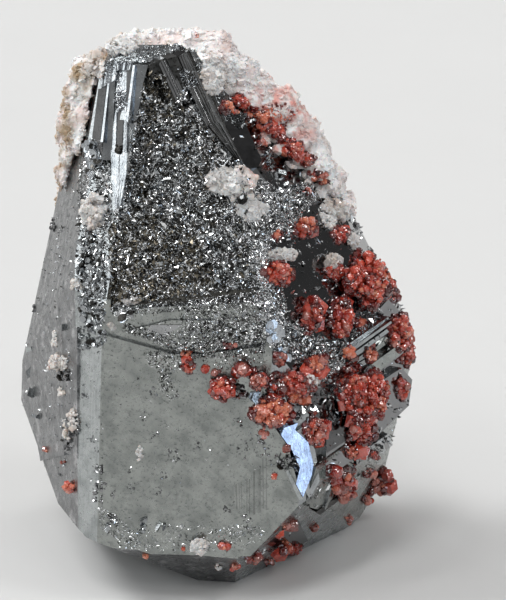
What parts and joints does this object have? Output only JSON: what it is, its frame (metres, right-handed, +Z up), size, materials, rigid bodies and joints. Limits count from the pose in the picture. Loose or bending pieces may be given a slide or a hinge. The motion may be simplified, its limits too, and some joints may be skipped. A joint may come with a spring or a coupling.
{
  "type": "hematite crystal with andradite",
  "caption": "Blocky tapered hematite crystal with dark smooth faces, red andradite garnet clusters and a pale calcite crust; stands on its flat broken foot.",
  "frame": {"origin": "centre of the bounding box at the foot, where the specimen rests", "axes": "+Z up along the crystal, -Y towards the viewer of the smooth front face, +X to that viewer's right"},
  "size_m": [0.0336, 0.0282, 0.0455],
  "materials": {
    "hematite": "metallic steel-grey crystal, smooth faces bright, rough zones dark",
    "calcite": "pale pink-white sugary crust",
    "andradite": "glassy deep red to orange-brown"
  },
  "bodies": {
    "root": {"andradite_back_high": "andradite", "andradite_back_low": "andradite", "andradite_band_lower": "andradite", "andradite_band_top": "andradite", "andradite_band_upper": "andradite", "andradite_below_patch": "andradite", "andradite_centre": "andradite", "andradite_centre_brown": "andradite", "andradite_centre_right": "andradite", "andradite_foot": "andradite", "andradite_foot_bead": "andradite", "andradite_foot_left": "andradite", "andradite_four_beads": "andradite", "andradite_front_bead": "andradite", "andradite_front_single": "andradite", "andradite_front_small": "andradite", "andradite_glint_edge": "andradite", "andradite_left_low": "andradite", "andradite_low_right": "andradite", "andradite_middle_left": "andradite", "andradite_middle_right": "andradite", "andradite_ridge": "andradite", "andradite_right_edge": "andradite", "andradite_right_mass": "andradite", "andradite_right_small": "andradite", "andradite_right_tail": "andradite", "andradite_shoulder": "andradite", "andradite_side_back": "andradite", "andradite_upper_ridge": "andradite", "calcite_matrix": "calcite", "calcite_patch_brow": "calcite", "calcite_patch_foot": "calcite", "calcite_patch_left_high": "calcite", "calcite_patch_left_low": "calcite", "calcite_patch_left_mid": "calcite", "calcite_patch_plate": "calcite", "calcite_patch_right_high": "calcite", "calcite_patch_right_mid": "calcite", "hematite_crystal": "hematite"}
  },
  "joints": []
}
